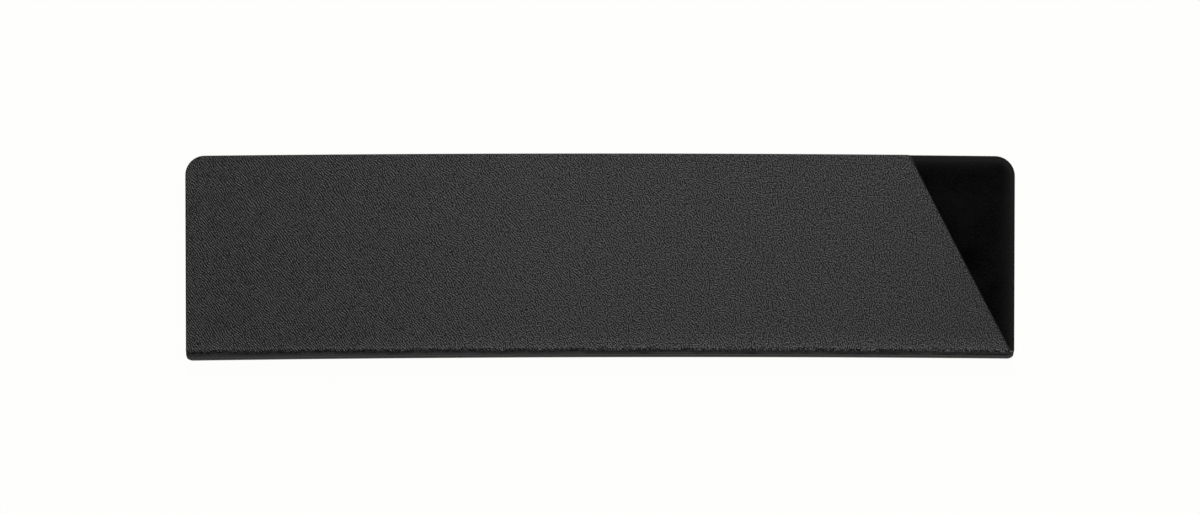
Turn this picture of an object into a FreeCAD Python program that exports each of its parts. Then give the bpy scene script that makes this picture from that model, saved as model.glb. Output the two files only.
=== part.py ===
"""Knife blade guard: a creased plastic cover that folds round a blade, lined with flocked magnet sheet.

The guard lies shut on its back cover. X runs along the blade from the tip end to the heel end,
Y runs from the fold to the open edge, and Z runs from the back cover up to the front cover.
The origin is under the middle of the guard, on the outer face of the back cover.
The real cover is one sheet: two flat covers and a narrow spine, joined by two creases that bend.
All sizes are in millimetres.
"""

import FreeCAD
import Part
import math
import os

from FreeCAD import Vector

# Cover sheet
guard_length = 216.0
guard_width = 53.0
sheet_thickness = 1.2
crease_width = 1.9
web_thickness = 0.4

# Layers on the inside of each cover, and the room left for the blade
adhesive_thickness = 0.1
magnet_thickness = 0.75
lining_thickness = 0.6
blade_gap = 1.0

# Outline of the covers
tip_corner_radius = 5.0
heel_corner_radius = 5.8
fold_corner_radius = 1.6
heel_cut_at_open_edge = 27.7
heel_cut_at_crease = 1.5
cut_corner_radius = 0.8
edge_round = 0.3

# Outlines of the layers, each measured in from the edge of what carries it
lining_margin = 1.2
lining_crease_margin = 1.5
lining_corner_radius = 1.0
magnet_inset = 0.3
adhesive_inset = 0.3

# Places worked out from the sizes above
half_length = guard_length / 2
half_width = guard_width / 2
crease_radius = crease_width / math.radians(90)
web_depth = sheet_thickness - web_thickness / 2
fold_depth = web_depth + crease_radius
crease_y = fold_depth - half_width
layer_thicknesses = (sheet_thickness, adhesive_thickness, magnet_thickness, lining_thickness)
closed_thickness = 2 * sum(layer_thicknesses) + blade_gap


def rounded_face(corners):
    """A flat face at height zero. Each corner is (x, y, radius), in order round the outline."""
    points = [Vector(x, y, 0) for x, y, radius in corners]
    edges = []
    ends = []
    for index, (x, y, radius) in enumerate(corners):
        corner = points[index]
        back = (points[index - 1] - corner).normalize()
        ahead = (points[(index + 1) % len(points)] - corner).normalize()
        half_angle = back.getAngle(ahead) / 2
        reach = radius / math.tan(half_angle)
        start = corner + back * reach
        end = corner + ahead * reach
        ends.append((start, end))
        if radius > 0:
            bisector = (back + ahead).normalize()
            nearest = corner + bisector * (radius / math.sin(half_angle) - radius)
            edges.append(Part.Arc(start, nearest, end).toShape())
    for index, (start, end) in enumerate(ends):
        edges.append(Part.LineSegment(ends[index - 1][1], start).toShape())
    return Part.Face(Part.Wire(Part.__sortEdges__(edges)))


def inset_corners(corners, margins, least_radius):
    """The outline moved inwards. margins[i] belongs to the edge from corner i to the next one."""
    count = len(corners)
    lines = []
    for index in range(count):
        start = Vector(*corners[index][:2], 0)
        end = Vector(*corners[(index + 1) % count][:2], 0)
        along = (end - start).normalize()
        inward = Vector(-along.y, along.x, 0)
        lines.append((start + inward * margins[index], along))
    moved = []
    for index, (x, y, radius) in enumerate(corners):
        before_point, before = lines[index - 1]
        after_point, after = lines[index]
        turn = before.cross(after).z
        distance = (after_point - before_point).cross(after).z / turn
        corner = before_point + before * distance
        moved.append((corner.x, corner.y, max(radius - margins[index], least_radius)))
    return moved


def slab(corners, bottom, thickness):
    """A flat layer of that outline, from its bottom height upwards."""
    layer = rounded_face(corners).extrude(Vector(0, 0, thickness))
    layer.translate(Vector(0, 0, bottom))
    return layer


def round_outer_edges(cover, outer_height):
    """The cover with the edges of its outer face rounded over, as a die leaves them."""
    rim = [edge for edge in cover.Edges if abs(edge.CenterOfMass.z - outer_height) < edge_round]
    return cover.makeFillet(edge_round, rim)


def back_corners():
    """The back cover's outline: square at the crease, rounded at the open edge."""
    return [
        (-half_length, crease_y, 0),
        (half_length, crease_y, 0),
        (half_length, half_width, heel_corner_radius),
        (-half_length, half_width, tip_corner_radius),
    ]


def front_corners():
    """The front cover's outline, cut on a slant at the heel end so that a thumb can part the covers."""
    return [
        (-half_length, crease_y, 0),
        (half_length - heel_cut_at_crease, crease_y, cut_corner_radius),
        (half_length - heel_cut_at_open_edge, half_width, cut_corner_radius),
        (-half_length, half_width, tip_corner_radius),
    ]


def layer_outlines(cover_corners):
    """Outlines of the cover, adhesive, magnet and lining on one side, in the order they are laid."""
    margins = [lining_crease_margin, lining_margin, lining_margin, lining_margin]
    lining = inset_corners(cover_corners, margins, lining_corner_radius)
    magnet = inset_corners(lining, [magnet_inset] * len(lining), lining_corner_radius)
    adhesive = inset_corners(magnet, [adhesive_inset] * len(magnet), lining_corner_radius)
    return [cover_corners, adhesive, magnet, lining]


def back_side():
    """The back cover and its layers, stacked upwards from the outer face."""
    solids = []
    height = 0
    for corners, thickness in zip(layer_outlines(back_corners()), layer_thicknesses):
        solids.append(slab(corners, height, thickness))
        height += thickness
    solids[0] = round_outer_edges(solids[0], 0)
    return solids


def front_side():
    """The front cover and its layers, stacked downwards from the outer face."""
    solids = []
    height = closed_thickness
    for corners, thickness in zip(layer_outlines(front_corners()), layer_thicknesses):
        height -= thickness
        solids.append(slab(corners, height, thickness))
    solids[0] = round_outer_edges(solids[0], closed_thickness)
    return solids


def fold_room():
    """The space that the fold fills, with the rounded ends that the fold shows from the front."""
    corners = [
        (-half_length, -half_width, fold_corner_radius),
        (half_length, -half_width, fold_corner_radius),
        (half_length, crease_y, 0),
        (-half_length, crease_y, 0),
    ]
    return slab(corners, 0, closed_thickness)


def along_fold(edges):
    """A section drawn at the tip end, carried along the fold and trimmed to its rounded ends."""
    section = Part.Face(Part.Wire(edges))
    section.translate(Vector(-half_length, 0, 0))
    return section.extrude(Vector(guard_length, 0, 0)).common(fold_room()).Solids[0]


def rear_web():
    """The thin quarter ring at the bottom of the rear crease, from the back cover to the spine."""
    centre = Vector(0, crease_y, web_depth + crease_radius)
    radii = (crease_radius - web_thickness / 2, crease_radius + web_thickness / 2)
    down, slant, out = (
        Vector(0, -math.sin(turn), -math.cos(turn)) for turn in map(math.radians, (0, 45, 90))
    )
    inner, outer = (
        (centre + down * radius, centre + slant * radius, centre + out * radius) for radius in radii
    )
    edges = [
        Part.Arc(*inner).toShape(),
        Part.LineSegment(inner[2], outer[2]).toShape(),
        Part.Arc(*reversed(outer)).toShape(),
        Part.LineSegment(outer[0], inner[0]).toShape(),
    ]
    return along_fold(edges)


def front_web():
    """The same web at the front crease: the rear one mirrored about the guard's middle height."""
    return rear_web().mirror(Vector(0, 0, closed_thickness / 2), Vector(0, 0, 1))


def spine_strip():
    """The narrow strip between the creases, with its two outer edges rounded over."""
    inner_y = sheet_thickness - half_width
    outer_y = -half_width
    low = fold_depth
    high = closed_thickness - fold_depth
    half_round = edge_round * math.sin(math.radians(45))
    low_centre = Vector(0, outer_y + edge_round, low + edge_round)
    high_centre = Vector(0, outer_y + edge_round, high - edge_round)
    points = [
        Vector(0, inner_y, high),
        Vector(0, inner_y, low),
        Vector(0, low_centre.y, low),
        Vector(0, outer_y, low_centre.z),
        Vector(0, outer_y, high_centre.z),
        Vector(0, high_centre.y, high),
    ]
    low_middle = low_centre - Vector(0, half_round, half_round)
    high_middle = high_centre + Vector(0, -half_round, half_round)
    edges = [
        Part.LineSegment(points[0], points[1]).toShape(),
        Part.LineSegment(points[1], points[2]).toShape(),
        Part.Arc(points[2], low_middle, points[3]).toShape(),
        Part.LineSegment(points[3], points[4]).toShape(),
        Part.Arc(points[4], high_middle, points[5]).toShape(),
        Part.LineSegment(points[5], points[0]).toShape(),
    ]
    return along_fold(edges)


def main():
    side_layers = ("cover", "adhesive_film", "magnet_sheet", "flock_lining")
    parts = {
        "rear_crease_web": rear_web(),
        "spine_strip": spine_strip(),
        "front_crease_web": front_web(),
    }
    for side, solids in (("back", back_side()), ("front", front_side())):
        for layer, solid in zip(side_layers, solids):
            parts[f"{side}_{layer}"] = solid
    os.makedirs("parts", exist_ok=True)
    for name, solid in parts.items():
        solid.exportStep(os.path.join("parts", f"{name}.step"))
        print(f"{name}: {solid.Volume:.1f} mm3, valid {solid.isValid()}, solids {len(solid.Solids)}")
    rear_axis_y = crease_y - crease_width / 2
    rear_axis_z = fold_depth - crease_width / 2
    print(f"rear crease axis: y {rear_axis_y:.4f}, z {rear_axis_z:.4f}")
    print(f"front crease axis: y {rear_axis_y:.4f}, z {closed_thickness - rear_axis_z:.4f}")
    print(f"closed thickness {closed_thickness:.3f}, crease line y {crease_y:.4f}")


main()
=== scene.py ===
"""A folded knife blade guard, dressed for its portrait.

The frame gives the sizes and places of the solids. Every piece here is a surface worked out with numpy on
grids: the creased cover, in two pieces that bend at the creases, and inside it the adhesive films, the
magnet sheets and the flock linings. Lengths are millimetres, and turn to metres when a mesh is made.

A cover is worked out as a flat blank and then folded. On the blank, x runs along the blade, t runs from the
open edge towards the fold, and depth runs from the outer face of the sheet to its inner face.
"""

import math

import bpy
import numpy as np
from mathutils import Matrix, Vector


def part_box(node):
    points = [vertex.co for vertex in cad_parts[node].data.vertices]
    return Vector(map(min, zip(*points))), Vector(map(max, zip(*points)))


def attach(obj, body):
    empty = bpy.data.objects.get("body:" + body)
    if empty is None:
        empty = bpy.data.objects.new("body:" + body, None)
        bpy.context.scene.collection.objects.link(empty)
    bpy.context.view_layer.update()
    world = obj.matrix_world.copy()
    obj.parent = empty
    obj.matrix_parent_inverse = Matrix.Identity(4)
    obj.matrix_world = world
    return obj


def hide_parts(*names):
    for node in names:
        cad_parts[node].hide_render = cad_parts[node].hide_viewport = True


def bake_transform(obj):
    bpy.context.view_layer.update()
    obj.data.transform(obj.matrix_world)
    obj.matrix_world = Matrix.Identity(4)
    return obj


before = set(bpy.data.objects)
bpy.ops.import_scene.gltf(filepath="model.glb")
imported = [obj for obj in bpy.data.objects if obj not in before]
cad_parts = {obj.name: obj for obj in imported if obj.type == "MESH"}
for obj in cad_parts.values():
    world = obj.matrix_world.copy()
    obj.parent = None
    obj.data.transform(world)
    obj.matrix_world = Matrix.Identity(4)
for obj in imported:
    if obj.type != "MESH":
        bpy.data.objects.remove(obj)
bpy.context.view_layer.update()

MM = 0.001


def node_box(node):
    """Lowest and highest corner of a solid, in millimetres."""
    return [np.array(corner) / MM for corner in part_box(node)]


# Sizes that the solids give
back_low, back_high = node_box("back_cover")
strip_low, strip_high = node_box("spine_strip")
web_low = node_box("rear_crease_web")[0]
half_length = back_high[0]
tip_and_heel = (-half_length, half_length)
open_y = back_high[1]
crease_y = back_low[1]
fold_y = strip_low[1]
sheet = back_high[2]
closed = node_box("front_cover")[1][2]
flap = open_y - crease_y
web = sheet - web_low[2]
inner_radius = crease_y - fold_y - sheet
crease_radius = inner_radius + web / 2
crease = crease_radius * math.pi / 2
strip_height = strip_high[2] - strip_low[2]

# Outline of the covers
TIP_CORNER = 5.0
HEEL_CORNER = 5.2
FOLD_CORNER = 1.6
FOLD_SHORT = 0.45
CUT_AT_OPEN_EDGE = 27.7
CUT_AT_CREASE = 1.5
CUT_CORNER = 0.8
CUT_SLOPE = (CUT_AT_OPEN_EDGE - CUT_AT_CREASE) / flap

# Edges of the covers, the close rows that keep their shading flat, and the spacing of their grids
EDGE_ROUND = 0.3
INNER_EDGE_ROUND = 0.12
SPINE_END_SHARE = 0.4
SUPPORT = 0.15
COVER_STEP = 1.0

# Creases: how far each side of the groove reaches in, its shoulder's radius and turn, and its fillet and lip
FLAP_REACH = 0.18
FLAP_SHOULDER = (0.6, math.radians(48))
FLAP_FILLET = 0.15
LIP_WIDTH = 0.9
LIP_HEIGHT = 0.08
SPINE_REACH = 0.9
SPINE_SHOULDER = (0.12, math.radians(90))
SPINE_FILLET = 0.1
WALL_DRAFT = 0.03

# Where the two halves of the sheet meet, in the groove of the front crease
SEAM_DEPTH = 0.2
SEAM = 0.05
TUCK = 0.1

# How far the folded guard is from true, and its creases from straight
BOW = 0.65
LEAN = 0.27
TAPER = 0.19
WAVER_LENGTHS = np.array([31.0, 13.0, 7.1, 4.7])
WAVER_HEIGHTS = np.array([0.05, 0.04, 0.035, 0.03])
WAVER_PHASES = np.array([0.4, 2.1, 4.0, 5.3])
CREASE_RUN = 0.18

# What creasing did to the grain: torn beside the shoulder, flattened on the spine; and a painted highlight
# over a band beside the crease
TORN_REACH = 0.6
SPINE_GRAIN = 0.5
HIGHLIGHT_REACH = 4.5
HIGHLIGHT_FADE = 3.0
HIGHLIGHT_AT_ENDS = (0.13, 0.26)

# Tones of the sheet, and its roughness on the grain and where there is none
# The hollow tone is painted shade in the grain's hollows, and the crest tone a painted highlight on its
# crests
HOLLOW_SHADE_TONE = "#040404"
CREST_HIGHLIGHT_TONE = "#626262"
CREASE_TONES_AT_ENDS = ("#404040", "#606060")
SPINE_END_TONE = "#2e2e2e"
SPINE_TONE = "#141414"
INSIDE_TONE = "#070707"
GRAIN_ROUGHNESS = 0.52
CREASE_ROUGHNESS = 0.65
SPINE_END_ROUGHNESS = 0.5
INSIDE_ROUGHNESS = 0.4

# Sizes in the rolled grain: patches of one heading, cells of ripples, specks, uneven pressing, tears, depth
GRAIN_PATCH = 3.0
RIPPLE_CELL = 1.4
SPECK = 0.32
PRESS_PATCH = 5.0
TEAR = 0.9
GRAIN_DEPTH = 0.12

# Relief of the grain, as shares of its depth: its middle, an even ripple's swing, and from hollow to crest
RELIEF_MIDDLE = 0.508
EVEN_SWING = 0.13
HOLLOW = -0.08
CREST = 0.16

# What uneven pressing multiplies the relief by, and tears the tone
PRESSED_LEAST = 0.82
PRESSED_MOST = 1.18
TORN_DARKEST = 0.05
TORN_PALEST = 1.8

# How the grain and its painted light change along the sheet: two places in millimetres, and the value at
# each.
# heading and spread are angles, rate is ripples in a cell, specks and strength scale the relief, a shift
# lowers it, shine is how near the crests come to their full tone, and evenness the share of even ripples.
# The shift darkens the tip end as painted shade, where the lamp's light is weaker; strength and shine also
# make the crests paler and the hollows darker there, painted light that rakes across the tip end.
GRAIN_ALONG = {
    "heading": (0, 100, math.radians(-40), math.radians(-20)),
    "spread": (-80, 60, 0.65, 3.2),
    "rate": (-100, 20, 2.5, 2.4),
    "specks": (-85, 60, 0.4, 1.5),
    "strength": (-108, 108, 2.2, 0.45),
    "tip_shade": (-100, -20, -0.135, -0.009),
    "shine": (-100, -20, 0.97, 0.837),
    "evenness": (-60, 40, 1.0, 0.0),
}

# Layers inside the covers, drawn in from the covers' edges
LINING_MARGIN = 1.2
LINING_CREASE_MARGIN = 1.5
LAYER_CORNER = 1.0
LAYER_STEP = 0.3
PILE_ROUND = 1.3
PILE_DROP = 0.5
# How far from its edges the pile is drawn paler, a painted highlight where light catches its rounded edge
PILE_EDGE_LIGHT = 6.5
PILE_RELIEF = 0.04
PILE_BUMP = 0.5

# The studio: a floor just under the guard, a lamp with its place and size in metres, the light all round
FLOOR_DROP = 0.12
FLOOR_REACH = 6000.0
FLOOR_LIFT = 0.98
LAMP_PLACE = (0.05, 0.58, 0.74)
LAMP_SIZE = 0.36
LAMP_WATTS = 5.9
WORLD_STRENGTH = 0.195

# The camera: the width that it sees at the front cover, the middle of its view, its lens and sensor
FRAME_WIDTH = 311.7
VIEW_CENTRE = (-0.22, -0.2)
LENS = 150
SENSOR = 36


def corner_inset(distance, radius):
    """How far a rounded corner draws a side in: the gap between the side and a quarter circle."""
    reach = np.clip(radius - distance, 0, radius)
    return radius - np.sqrt(radius**2 - reach**2)


def slanted_side(t, inset, centre):
    """The slanted heel side: a straight line, and round its corner a circle whose centre lies that deep."""
    slant = math.hypot(1, CUT_SLOPE)
    at_open_edge = half_length - CUT_AT_OPEN_EDGE
    radius = centre - inset
    circle_x = at_open_edge + CUT_SLOPE * centre - centre * slant
    circle = circle_x + np.sqrt(np.clip(radius**2 - (t - centre) ** 2, 0, None))
    line = at_open_edge + CUT_SLOPE * t - inset * slant
    return np.where(t < centre - radius * CUT_SLOPE / slant, circle, line)


def outline(cover, margin, foot, foot_radius):
    """A function of t and inset that gives the tip side and heel side of a layer's outline, drawn in.

    Both are straight lines with quarter circles at their corners. The back's heel side is drawn in a little
    over the crease, and the front's is the slanted cut."""

    def sides(t, inset):
        total = margin + inset
        at_foot = corner_inset(foot - inset - t, max(foot_radius - inset, 0))
        tip = -half_length + total + corner_inset(t - total, TIP_CORNER - total)
        if cover == "back":
            short = FOLD_SHORT * np.clip((t - flap) / crease, 0, 1)
            heel = half_length - total - corner_inset(t - total, HEEL_CORNER - total) - short
        else:
            corner = max(CUT_CORNER - margin, LAYER_CORNER)
            heel = slanted_side(t, total, max(margin + corner, total + SUPPORT))
        return tip + at_foot, heel - at_foot

    return sides


def even_shares(length, step):
    """Shares from 0 to 1 that space a line evenly, with a close one beside each end."""
    inner = np.linspace(0, 1, max(int(length / step), 4))
    return np.concatenate([[0, SUPPORT / length], inner[1:-1], [1 - SUPPORT / length, 1]])


def open_edge_rows(inset, margin):
    """Rows beside the open edge, close together where the corners turn: 1 less the cosine of even angles."""
    start = margin + inset
    turn = np.linspace(0, math.pi / 2, 13)
    return start + (HEEL_CORNER - start) * (1 - np.cos(turn))


def groove_side(shoulder, lip, fillet):
    """Rows from a face down into a crease, as (distance past the shoulder's end, depth).

    A lip pushed up beside the crease rises as a squared sine. The shoulder is an arc of a given radius and
    turn, the wall falls almost straight, and the fillet where it meets the web is a quarter circle."""
    radius, turn = shoulder
    rise = np.linspace(0, 1, 8)[:-1]
    bend = np.linspace(0, turn, 9)
    quarter = np.linspace(0, math.pi / 2, 6)
    reach = radius * math.sin(turn)
    lip_place = -reach - LIP_WIDTH * (1 - rise)
    lip_depth = -lip * np.sin(math.pi / 2 * rise) ** 2
    shoulder_place = radius * np.sin(bend) - reach
    shoulder_depth = radius * (1 - np.cos(bend)) - lip * (1 - bend / turn)
    fillet_place = WALL_DRAFT + fillet * (1 - np.cos(quarter))
    fillet_depth = sheet - web - fillet * (1 - np.sin(quarter))
    place = np.concatenate([lip_place, shoulder_place, fillet_place])
    return place, np.concatenate([lip_depth, shoulder_depth, fillet_depth])


def crease_rows():
    """Rows across a crease as (t, depth): the flap's side, the web and the spine's side."""
    flap_place, flap_depth = groove_side(FLAP_SHOULDER, LIP_HEIGHT, FLAP_FILLET)
    spine_place, spine_depth = groove_side(SPINE_SHOULDER, 0, SPINE_FILLET)
    flap_t = flap + FLAP_REACH + flap_place
    spine_t = (flap + crease - SPINE_REACH - spine_place)[::-1]
    web_t = np.linspace(flap_t[-1], spine_t[0], 12)[1:-1]
    web_depth = np.full_like(web_t, sheet - web)
    return (flap_t, flap_depth), (web_t, web_depth), (spine_t, spine_depth[::-1])


def cover_rows(cover):
    """A function of inset that gives a cover's rows, and where they end.

    The rows run over the flap and its crease. The back's go on over the spine to the seam in the front
    crease, and the front's end under the spine's edge there."""
    (flap_t, flap_depth), (web_t, web_depth), (spine_t, spine_depth) = crease_rows()
    middle = np.linspace(HEEL_CORNER, flap_t[0], 24)[1:-1]
    on_seam = spine_depth >= SEAM_DEPTH
    foot = flap + crease - SPINE_REACH + TUCK
    past_t = np.concatenate([web_t, spine_t[on_seam]])
    past_depth = np.concatenate([web_depth, spine_depth[on_seam]])
    end_share = 0
    if cover == "back":
        foot = flap + crease + strip_height + SPINE_REACH - SEAM
        end_share = SPINE_END_SHARE
        curve_t = np.linspace(flap + crease + strip_height, foot, 6)[:-1]
        past_t = np.concatenate([web_t, spine_t, curve_t])
        past_depth = np.concatenate([web_depth, spine_depth, np.zeros_like(curve_t)])

    def rows(inset):
        start = open_edge_rows(inset, 0)
        t = np.concatenate([start, middle, flap_t, past_t, [foot - end_share * inset]])
        flat = np.zeros(len(start) + len(middle))
        return t, np.concatenate([flat, flap_depth, past_depth, past_depth[-1:]])

    return rows, foot


def loop_of(grid):
    """The border of a grid, once round."""
    return np.concatenate([grid[0], grid[1:, -1], grid[-1, -2::-1], grid[-2:0:-1, 0]])


def quads(index):
    """The four-cornered faces of a grid of vertex numbers."""
    corners = [index[:-1, :-1], index[:-1, 1:], index[1:, 1:], index[1:, :-1]]
    return np.stack(corners, axis=-1).reshape(-1, 4)


def closed_plate(grid_at, profile, thickness):
    """A closed plate on the blank: an outer face, rings that carry the edge's profile round, an inner face.

    grid_at(inset) gives a grid of (x, t, depth of the outer face). Each step of the profile is an inset and
    a share of the way from the outer face to the inner one. Returns points, faces and each point's share."""
    layers = []
    for step, (inset, share) in enumerate(profile):
        grid = grid_at(inset)
        grid[..., 2] += share * (thickness - grid[..., 2])
        whole = step in (0, len(profile) - 1)
        layers.append(grid if whole else loop_of(grid))
    starts = np.cumsum([0] + [layer.size // 3 for layer in layers])
    indices = [
        np.arange(start, start + layer.size // 3).reshape(layer.shape[:-1])
        for start, layer in zip(starts, layers)
    ]
    rings = [loop_of(indices[0]), *indices[1:-1], loop_of(indices[-1])]
    faces = [quads(indices[0]), quads(indices[-1])[:, ::-1]]
    for ring, after in zip(rings, rings[1:]):
        faces.append(np.stack([np.roll(ring, -1), ring, after, np.roll(after, -1)], axis=-1))
    points = np.concatenate([layer.reshape(-1, 3) for layer in layers])
    shares = np.repeat([share for inset, share in profile], np.diff(starts))
    return points, np.concatenate(faces), shares


def rounded_edge(width, drop, inner, thickness):
    """An edge's profile: a quarter ellipse at the outer face, a straight wall, a quarter circle inside."""
    turn = np.linspace(0, math.pi / 2, 7)
    out = [(width * (1 - math.sin(a)), drop * (1 - math.cos(a)) / thickness) for a in turn]
    back = [(inner * (1 - math.cos(a)), 1 - inner * (1 - math.sin(a)) / thickness) for a in turn[::2]]
    return out + back


def grid_from(sides, rows, shares):
    """A function of inset that spreads each row's shares between the two sides of an outline."""

    def grid_at(inset):
        t, depth = rows(inset)
        tip, heel = sides(t, inset)
        x = tip[:, None] + (heel - tip)[:, None] * shares
        return np.stack([x, *np.broadcast_arrays(t[:, None], depth[:, None], x)[:2]], axis=-1)

    return grid_at


def bowed(x, y, z):
    """The guard as it was cut and folded.

    It is bowed in its own plane by a parabola. Its fold leans and is a little shorter than its open edge,
    both by a straight line from the open edge to the fold."""
    along = x / half_length
    towards_fold = (open_y - y) / (open_y - fold_y)
    bent = y + BOW * (1 / 3 - along**2) + LEAN * along * towards_fold
    return np.stack([x - TAPER * along * towards_fold, bent, z], axis=-1)


def wavered(x, t):
    """Rows moved to and fro beside a crease, which dies out away from its shoulder.

    They move by a sum of sines along the crease, and by a straight line because it runs out of true."""
    waves = np.sin(2 * math.pi * x[:, None] / WAVER_LENGTHS + WAVER_PHASES) @ WAVER_HEIGHTS
    waves = waves + CREASE_RUN * x / half_length
    reach = np.where(t < flap, 3 * LIP_WIDTH, crease / 2)
    share = np.clip(1 - np.abs(t - flap) / reach, 0, 1)
    return t + waves * share


def folded(points, cover):
    """The blank folded: flat on the flap, round the crease on an arc, straight up the spine, round an arc.

    The ends of the fold are drawn in on a circle, and the front is the back mirrored about half height."""
    x, t, depth = points.T
    t = wavered(x, t)
    first = np.clip((t - flap) / crease_radius, 0, math.pi / 2)
    second = np.clip((t - flap - crease - strip_height) / crease_radius, 0, math.pi / 2)
    up_spine = np.clip(t - flap - crease, 0, strip_height)
    radius = inner_radius + sheet - depth
    y = open_y - np.minimum(t, flap) - radius * np.sin(first + second)
    z = sheet + inner_radius + up_spine - radius * np.cos(first + second)
    x = x * (1 - corner_inset(y - fold_y, FOLD_CORNER) / half_length)
    if cover == "front":
        z = closed - z
    return bowed(x, y, z)


def new_piece(name, points, faces, material, **values):
    """A mesh object from points in millimetres, with faces outwards and named values on its points."""
    a, b, c, d = (points[faces[:, corner]] for corner in range(4))
    volume = np.sum(np.cross(c - a, d - b) * (a + b + c + d))
    outward = faces if volume > 0 else faces[:, ::-1]
    mesh = bpy.data.meshes.new(name)
    mesh.from_pydata((points * MM).tolist(), [], outward.tolist())
    for value_name, value in values.items():
        flat = value.ndim == 1
        layer = mesh.attributes.new(value_name, "FLOAT" if flat else "FLOAT_VECTOR", "POINT")
        layer.data.foreach_set("value" if flat else "vector", value.astype(np.float32).ravel())
    mesh.shade_smooth()
    mesh.materials.append(material)
    piece = bpy.data.objects.new(name, mesh)
    bpy.context.scene.collection.objects.link(piece)
    return piece


def hex_colour(code):
    """Linear colour, with alpha, from an sRGB hex code."""
    parts = np.array([int(code[i : i + 2], 16) for i in (1, 3, 5)]) / 255
    linear = np.where(parts <= 0.04045, parts / 12.92, ((parts + 0.055) / 1.055) ** 2.4)
    return (*linear.tolist(), 1.0)


def per_metre(pitch):
    """A pattern's scale for a repeat of that many millimetres."""
    return 1 / (pitch * MM)


def new_material(name):
    """An empty material with one shader, its tree and that shader."""
    material = bpy.data.materials.new(name)
    material.use_nodes = True
    tree = material.node_tree
    return material, tree, tree.nodes["Principled BSDF"]


def add(tree, kind, inputs, **settings):
    """Adds a node with its settings, and sets or links its inputs, named or counted."""
    node = tree.nodes.new(kind)
    for name, value in settings.items():
        setattr(node, name, value)
    for name, value in inputs.items():
        if isinstance(value, bpy.types.NodeSocket):
            tree.links.new(value, node.inputs[name])
        else:
            node.inputs[name].default_value = value
    return node


def rolled_grain(tree, place):
    """The relief of the rolled grain, about zero, and how near its crests come to their full tone.

    Ripples turn from patch to patch. Even ripples, all of one depth, are the sine of those ripples' phase.
    Specks are added, and the rolls have pressed the grain unevenly. Towards the tip end the relief is
    lowered, painted shade, and its crests come nearer their full tone, painted raking light."""
    along = add(tree, "ShaderNodeSeparateXYZ", {"Vector": place}).outputs["X"]
    changing = {}
    for name, (first, last, at_first, at_last) in GRAIN_ALONG.items():
        span = {"From Min": first * MM, "From Max": last * MM, "To Min": at_first, "To Max": at_last}
        changing[name] = add(tree, "ShaderNodeMapRange", {"Value": along, **span}).outputs["Result"]

    patches = add(tree, "ShaderNodeTexNoise",
                  {"Vector": place, "Scale": per_metre(GRAIN_PATCH), "Detail": 0.0})
    veer = add(tree, "ShaderNodeMath", {0: patches.outputs["Fac"], 1: 0.5}, operation="SUBTRACT")
    turned = add(tree, "ShaderNodeMath",
                 {0: veer.outputs[0], 1: changing["spread"], 2: changing["heading"]},
                 operation="MULTIPLY_ADD")
    ripples = add(tree, "ShaderNodeTexGabor",
                  {"Vector": place, "Scale": per_metre(RIPPLE_CELL), "Anisotropy": 0.88,
                   "Frequency": changing["rate"], "Orientation": turned.outputs[0]}, gabor_type="2D")
    turn = add(tree, "ShaderNodeMath", {0: ripples.outputs["Phase"], 1: 2 * math.pi}, operation="MULTIPLY")
    wave = add(tree, "ShaderNodeMath", {0: turn.outputs[0]}, operation="SINE")
    even = add(tree, "ShaderNodeMath", {0: wave.outputs[0], 1: -EVEN_SWING, 2: 0.5},
               operation="MULTIPLY_ADD")
    evened = add(tree, "ShaderNodeMix",
                 {"Factor": changing["evenness"], "A": ripples.outputs["Value"], "B": even.outputs[0]},
                 data_type="FLOAT")

    fine = add(tree, "ShaderNodeTexNoise", {"Vector": place, "Scale": per_metre(SPECK), "Detail": 0.0})
    speck = add(tree, "ShaderNodeMath", {0: fine.outputs["Fac"], 1: 0.5}, operation="SUBTRACT")
    relief = add(tree, "ShaderNodeMath",
                 {0: speck.outputs[0], 1: changing["specks"], 2: evened.outputs["Result"]},
                 operation="MULTIPLY_ADD")
    swing = add(tree, "ShaderNodeMath", {0: relief.outputs[0], 1: RELIEF_MIDDLE}, operation="SUBTRACT")
    rolls = add(tree, "ShaderNodeTexNoise",
                {"Vector": place, "Scale": per_metre(PRESS_PATCH), "Detail": 2.0})
    press = add(tree, "ShaderNodeMapRange",
                {"Value": rolls.outputs["Fac"], "From Min": 0.3, "From Max": 0.7,
                 "To Min": PRESSED_LEAST, "To Max": PRESSED_MOST})
    depth = add(tree, "ShaderNodeMath", {0: press.outputs["Result"], 1: changing["strength"]},
                operation="MULTIPLY")
    # Painted shade: this shift along the sheet darkens the tip end
    pressed = add(tree, "ShaderNodeMath", {0: swing.outputs[0], 1: depth.outputs[0], 2: changing["tip_shade"]},
                  operation="MULTIPLY_ADD")
    return pressed.outputs[0], changing["shine"]


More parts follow.
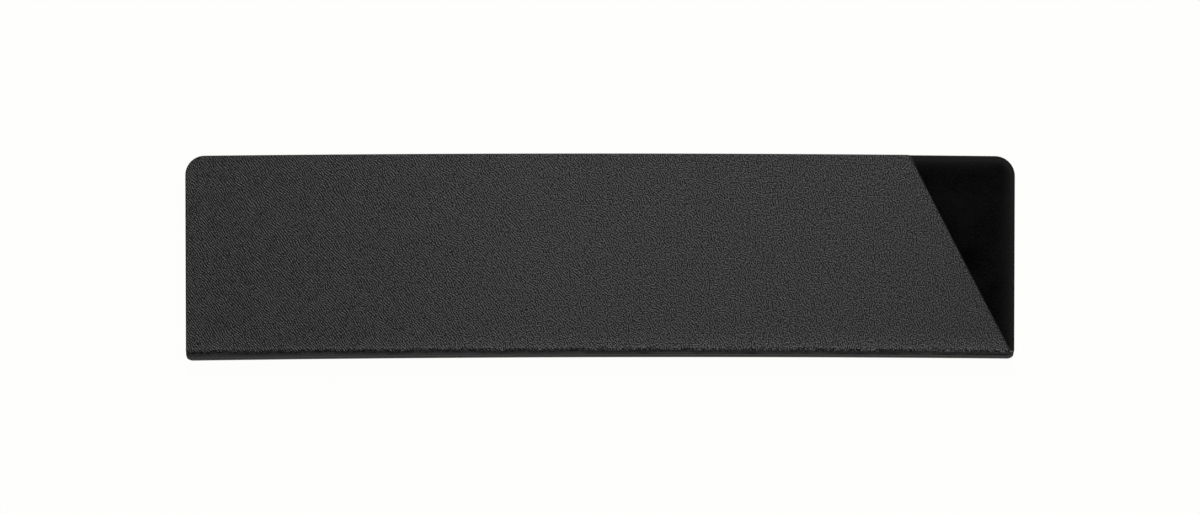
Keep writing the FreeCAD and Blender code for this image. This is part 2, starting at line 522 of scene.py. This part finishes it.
def grained_polypropylene():
    """Black polypropylene sheet, extruded and rolled with a fine ripple grain.

    The eye sees short ripples, satin on their crests and near black between them: a twill towards the tip
    end that breaks up into specks towards the heel end. The ripples are the sheet's own grain; the near
    black of their hollows is painted shade and the pale satin of their crests a painted highlight. On the
    real sheet they are about half a millimetre apart, and they are drawn a little wider so that they show.
    Beside a crease the grain is torn into ragged specks, and a band beside the crease is drawn paler, a
    painted highlight."""
    material, tree, shader = new_material("grained_polypropylene")
    place = add(tree, "ShaderNodeAttribute", {}, attribute_name="sheet_place").outputs["Vector"]
    marks = {}
    for name in ("grain", "smooth_tone", "roughness", "ragged", "whitened"):
        marks[name] = add(tree, "ShaderNodeAttribute", {}, attribute_name=name).outputs["Fac"]
    pressed, shine = rolled_grain(tree, place)
    masked = add(tree, "ShaderNodeMath", {0: pressed, 1: marks["grain"]}, operation="MULTIPLY")
    bump = add(tree, "ShaderNodeBump",
               {"Height": masked.outputs[0], "Strength": 1.0, "Distance": GRAIN_DEPTH * MM})
    # Ripple colour: the grain's own pattern, with painted shade in its hollows and a painted highlight on
    # its crests
    crest = add(tree, "ShaderNodeMapRange",
                {"Value": masked.outputs[0], "From Min": HOLLOW, "From Max": CREST, "To Max": shine})
    ripple_shade_and_highlight = add(tree, "ShaderNodeMix",
                        {"Factor": crest.outputs["Result"], "A": hex_colour(HOLLOW_SHADE_TONE),
                         "B": hex_colour(CREST_HIGHLIGHT_TONE)}, data_type="RGBA")
    colour = add(tree, "ShaderNodeMix",
                 {"Factor": marks["grain"], "A": marks["smooth_tone"], "B": ripple_shade_and_highlight.outputs["Result"]},
                 data_type="RGBA")
    tears = add(tree, "ShaderNodeTexNoise", {"Vector": place, "Scale": per_metre(TEAR), "Detail": 1.0})
    torn = add(tree, "ShaderNodeMapRange",
               {"Value": tears.outputs["Fac"], "From Min": 0.4, "From Max": 0.58,
                "To Min": TORN_DARKEST, "To Max": TORN_PALEST})
    torn_colour = add(tree, "ShaderNodeMix",
                      {"Factor": marks["ragged"], "A": colour.outputs["Result"],
                       "B": torn.outputs["Result"]}, data_type="RGBA", blend_type="MULTIPLY")
    # Painted highlight: the colour is made paler over the band beside the crease
    paler = add(tree, "ShaderNodeMath", {0: marks["whitened"], 1: 1.0}, operation="ADD")
    shown = add(tree, "ShaderNodeMix",
                {"Factor": 1.0, "A": torn_colour.outputs["Result"], "B": paler.outputs[0]},
                data_type="RGBA", blend_type="MULTIPLY")
    tree.links.new(shown.outputs["Result"], shader.inputs["Base Color"])
    tree.links.new(marks["roughness"], shader.inputs["Roughness"])
    tree.links.new(bump.outputs["Normal"], shader.inputs["Normal"])
    shader.inputs["IOR"].default_value = 1.49
    shader.inputs["Specular IOR Level"].default_value = 0.3
    return material


def nylon_flock():
    """Short nylon fibre, shot upright into glue: a deep black pile with no gloss.

    It is drawn paler towards its soft edge, a painted highlight where light catches the pile's rounded edge."""
    material, tree, shader = new_material("nylon_flock_pile")
    place = add(tree, "ShaderNodeTexCoord", {}).outputs["Object"]
    splay = add(tree, "ShaderNodeAttribute", {}, attribute_name="splay").outputs["Fac"]
    fibres = add(tree, "ShaderNodeTexNoise", {"Vector": place, "Scale": per_metre(0.5), "Detail": 3.0})
    nap = add(tree, "ShaderNodeTexNoise", {"Vector": place, "Scale": per_metre(9), "Detail": 3.0})
    bump = add(tree, "ShaderNodeBump",
               {"Height": fibres.outputs["Fac"], "Strength": 1.0, "Distance": PILE_BUMP * MM})
    mixed = add(tree, "ShaderNodeMath", {0: fibres.outputs["Fac"], 1: nap.outputs["Fac"]}, operation="ADD")
    tone = add(tree, "ShaderNodeMapRange", {"Value": mixed.outputs[0], "From Min": 0.75, "From Max": 1.25})
    pile = add(tree, "ShaderNodeMix",
               {"Factor": tone.outputs["Result"], "A": hex_colour("#020203"), "B": hex_colour("#111112")},
               data_type="RGBA")
    # Painted highlight: the pile is made paler towards its edges
    at_edge = add(tree, "ShaderNodeMath", {0: splay, 1: 3.3}, operation="POWER")
    colour = add(tree, "ShaderNodeMix",
                 {"Factor": at_edge.outputs[0], "A": pile.outputs["Result"], "B": hex_colour("#1d1d1e")},
                 data_type="RGBA")
    tree.links.new(colour.outputs["Result"], shader.inputs["Base Color"])
    tree.links.new(bump.outputs["Normal"], shader.inputs["Normal"])
    shader.inputs["Roughness"].default_value = 1.0
    shader.inputs["Specular IOR Level"].default_value = 0.05
    shader.inputs["Sheen Weight"].default_value = 0.04
    shader.inputs["Sheen Roughness"].default_value = 0.4
    return material


def magnet_rubber():
    """Ferrite powder in rubber, rolled into sheet: matt brown-black with faint lines along the roll."""
    material, tree, shader = new_material("ferrite_magnet_rubber")
    place = add(tree, "ShaderNodeTexCoord", {}).outputs["Object"]
    along = add(tree, "ShaderNodeMapping", {"Vector": place, "Scale": (0.04, 1.0, 1.0)})
    lines = add(tree, "ShaderNodeTexNoise",
                {"Vector": along.outputs[0], "Scale": per_metre(0.5), "Detail": 2.0})
    colour = add(tree, "ShaderNodeMix",
                 {"Factor": lines.outputs["Fac"], "A": hex_colour("#2a2623"), "B": hex_colour("#3a3430")},
                 data_type="RGBA")
    bump = add(tree, "ShaderNodeBump",
               {"Height": lines.outputs["Fac"], "Strength": 1.0, "Distance": 0.03 * MM})
    tree.links.new(colour.outputs["Result"], shader.inputs["Base Color"])
    tree.links.new(bump.outputs["Normal"], shader.inputs["Normal"])
    shader.inputs["Roughness"].default_value = 0.7
    return material


def acrylic_film():
    """Acrylic transfer adhesive: a thin, slightly cloudy film that catches the light at its edge."""
    material, tree, shader = new_material("acrylic_transfer_film")
    place = add(tree, "ShaderNodeTexCoord", {}).outputs["Object"]
    cloud = add(tree, "ShaderNodeTexNoise", {"Vector": place, "Scale": per_metre(1.2), "Detail": 2.0})
    colour = add(tree, "ShaderNodeMix",
                 {"Factor": cloud.outputs["Fac"], "A": hex_colour("#4c473d"), "B": hex_colour("#6a6456")},
                 data_type="RGBA")
    tree.links.new(colour.outputs["Result"], shader.inputs["Base Color"])
    shader.inputs["Roughness"].default_value = 0.3
    return material


def make_cover(cover, material):
    """One half of the creased sheet, with what rolling and creasing left at each of its points, and a
    painted highlight.

    The grain is whole on the outer face, half flattened on the spine, and gone in the crease and inside. It
    is torn most at the end of the flap's shoulder and less to both sides, by a straight line. Beside the
    crease it is drawn paler as a painted highlight, over a band that fades by a straight line."""
    rows, foot = cover_rows(cover)
    sides = outline(cover, 0, foot, 0)
    shares = even_shares(2 * half_length, COVER_STEP)
    profile = rounded_edge(EDGE_ROUND, EDGE_ROUND, INNER_EDGE_ROUND, sheet)
    points, faces, share = closed_plate(grid_from(sides, rows, shares), profile, sheet)
    x, t = points.T[:2]
    outside = share == 0
    past_flap = t > flap + FLAP_REACH
    before_spine = t < flap + crease - SPINE_REACH
    in_crease = past_flap & before_spine & outside
    at_spine_end = (t > foot - EDGE_ROUND) & ~outside & (cover == "back")
    on_spine = ~before_spine & outside
    grain = np.select([in_crease | ~outside, on_spine], [0.0, SPINE_GRAIN], 1.0)
    crease_tone = np.interp(x, tip_and_heel, [hex_colour(code)[0] for code in CREASE_TONES_AT_ENDS])
    tones = [crease_tone, hex_colour(SPINE_END_TONE)[0], hex_colour(SPINE_TONE)[0]]
    smooth_tone = np.select([in_crease, at_spine_end, on_spine], tones, hex_colour(INSIDE_TONE)[0])
    smooth = [SPINE_END_ROUGHNESS, CREASE_ROUGHNESS, INSIDE_ROUGHNESS]
    roughness = np.select([at_spine_end, in_crease, ~outside], smooth, GRAIN_ROUGHNESS)
    ragged = np.clip(1 - np.abs(t - flap - FLAP_REACH) / TORN_REACH, 0, 1) * outside
    # Painted highlight: a band beside the crease, fading by a straight line and stronger towards the heel
    # end
    band = np.clip((HIGHLIGHT_REACH - flap + t) / HIGHLIGHT_FADE, 0, 1) * outside * ~past_flap
    whitened = band * np.interp(x, tip_and_heel, HIGHLIGHT_AT_ENDS)
    return new_piece(f"{cover}_cover_sheet", folded(points, cover), faces, material, sheet_place=points * MM,
                     grain=grain, smooth_tone=smooth_tone, roughness=roughness, ragged=ragged,
                     whitened=whitened)


def make_layer(node, cover, margin, crease_margin, edge, drop, step, relief, material):
    """One layer inside a cover and its cut area, between the heights of its solid.

    Its finished face is to the blade, with a random relief. Its edges are rounded there by a quarter
    ellipse, and a quarter as much at its back. Its painted highlight, the pile drawn paler towards its edge,
    falls by a straight line away from its outline."""
    low, high = node_box(node)
    thickness = high[2] - low[2]
    foot = flap - crease_margin
    sides = outline(cover, margin, foot, LAYER_CORNER)
    foot_turn = np.linspace(math.pi / 2, 0, 6)
    count = max(int((foot - LAYER_CORNER - HEEL_CORNER) / step), 3)

    def rows(inset):
        start = open_edge_rows(inset, margin)
        corner = max(LAYER_CORNER - inset, SUPPORT)
        end = foot - inset - corner * (1 - np.cos(foot_turn))
        middle = np.linspace(start[-1], end[0], count)[1:-1]
        t = np.concatenate([start, middle, end])
        return t, np.zeros_like(t)

    shares = even_shares(2 * half_length, step)
    profile = rounded_edge(edge, drop, min(edge, drop) / 4, thickness)
    points, faces, share = closed_plate(grid_from(sides, rows, shares), profile, thickness)
    x, t, depth = points.T
    tip, heel = sides(t, 0)
    from_edge = np.minimum.reduce([t - margin, foot - t, x - tip, heel - x])
    # Painted highlight on the pile: one at the outline, falling to none this far in
    splay = np.clip(1 - from_edge / PILE_EDGE_LIGHT, 0, 1)
    depth = depth + relief * rng.uniform(0, 1, len(depth)) * (share == 0)
    z = high[2] - depth if cover == "back" else low[2] + depth
    placed = bowed(x, open_y - t, z)
    row_t = rows(0)[0]
    row_tip, row_heel = sides(row_t, 0)
    cut_area = np.sum((row_heel - row_tip)[1:] * np.diff(row_t))
    return new_piece(node + "_layer", placed, faces, material, splay=splay), cut_area * MM**2


rng = np.random.default_rng(5)
cover_material = grained_polypropylene()

# Each layer's name, how far it is drawn in, its edge's width and drop, grid step, relief, material and slot
layer_finishes = [
    ("adhesive_film", 2 * LAYER_STEP, 0.02, 0.02, 3.0, 0, acrylic_film(), "adhesive_film"),
    ("magnet_sheet", LAYER_STEP, 0.1, 0.1, 3.0, 0, magnet_rubber(), "magnet_rubber"),
    ("flock_lining", 0, PILE_ROUND, PILE_DROP, 0.6, PILE_RELIEF, nylon_flock(), "flock_pile"),
]

back_sheet = make_cover("back", cover_material)
front_sheet = make_cover("front", cover_material)
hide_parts("back_cover", "rear_crease_web", "spine_strip")
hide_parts("front_cover", "front_crease_web")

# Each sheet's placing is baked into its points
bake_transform(back_sheet)
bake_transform(front_sheet)

for cover in ("back", "front"):
    for layer, drawn_in, edge, drop, step, relief, material, slot in layer_finishes:
        node = f"{cover}_{layer}"
        margins = LINING_MARGIN + drawn_in, LINING_CREASE_MARGIN + drawn_in
        piece, cut_area = make_layer(node, cover, *margins, edge, drop, step, relief, material)
        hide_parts(node)
        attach(piece, cover)


def white_floor():
    """Matt white paper. The camera sees it lifted almost to white, and it keeps a trace of the shadow."""
    material, tree, shader = new_material("matt_white_paper")
    tree.nodes.remove(shader)
    rays = add(tree, "ShaderNodeLightPath", {})
    seen = add(tree, "ShaderNodeMath", {0: rays.outputs["Is Camera Ray"], 1: rays.outputs["Is Glossy Ray"]},
               operation="MAXIMUM")
    seen = add(tree, "ShaderNodeMath", {0: seen.outputs[0], 1: rays.outputs["Is Transmission Ray"]},
               operation="MAXIMUM")
    lift = add(tree, "ShaderNodeMath", {0: seen.outputs[0], 1: FLOOR_LIFT}, operation="MULTIPLY")
    paper = add(tree, "ShaderNodeBsdfDiffuse", {"Color": hex_colour("#e9e9e7")})
    white = add(tree, "ShaderNodeEmission", {"Color": hex_colour("#fffffd"), "Strength": 1.0})
    mixed = add(tree, "ShaderNodeMixShader", {0: lift.outputs[0], 1: paper.outputs[0], 2: white.outputs[0]})
    tree.links.new(mixed.outputs[0], tree.nodes["Material Output"].inputs["Surface"])
    return material


def make_floor():
    """A flat square far wider than the picture, just under the back cover."""
    reach = np.array([-FLOOR_REACH, FLOOR_REACH])
    x, y = np.meshgrid(reach, reach)
    points = np.stack([x, y, np.full_like(x, -FLOOR_DROP)], axis=-1).reshape(-1, 3)
    mesh = bpy.data.meshes.new("floor")
    mesh.from_pydata((points * MM).tolist(), [], [[0, 1, 3, 2]])
    mesh.materials.append(white_floor())
    floor = bpy.data.objects.new("floor", mesh)
    bpy.context.scene.collection.objects.link(floor)


def add_lamp():
    """A square soft lamp above the open edge, turned to the middle of the guard."""
    lamp = bpy.data.lights.new("key", "AREA")
    lamp.size = LAMP_SIZE
    lamp.energy = LAMP_WATTS
    holder = bpy.data.objects.new("key", lamp)
    holder.location = LAMP_PLACE
    holder.rotation_euler = (-holder.location).to_track_quat("-Z", "Y").to_euler()
    bpy.context.scene.collection.objects.link(holder)


def set_world():
    """Even white light from all round."""
    world = bpy.data.worlds.new("studio")
    world.use_nodes = True
    background = world.node_tree.nodes["Background"]
    background.inputs["Color"].default_value = hex_colour("#ffffff")
    background.inputs["Strength"].default_value = WORLD_STRENGTH
    bpy.context.scene.world = world


def add_camera():
    """Straight above the guard, as far off as makes it as large as in the photograph."""
    lens = bpy.data.cameras.new("camera")
    lens.lens = LENS
    lens.sensor_width = SENSOR
    camera = bpy.data.objects.new("camera", lens)
    distance = FRAME_WIDTH * LENS / SENSOR
    camera.location = (VIEW_CENTRE[0] * MM, VIEW_CENTRE[1] * MM, (closed + distance) * MM)
    bpy.context.scene.collection.objects.link(camera)
    bpy.context.scene.camera = camera


make_floor()
add_lamp()
set_world()
add_camera()
bpy.context.scene.view_settings.view_transform = "Standard"
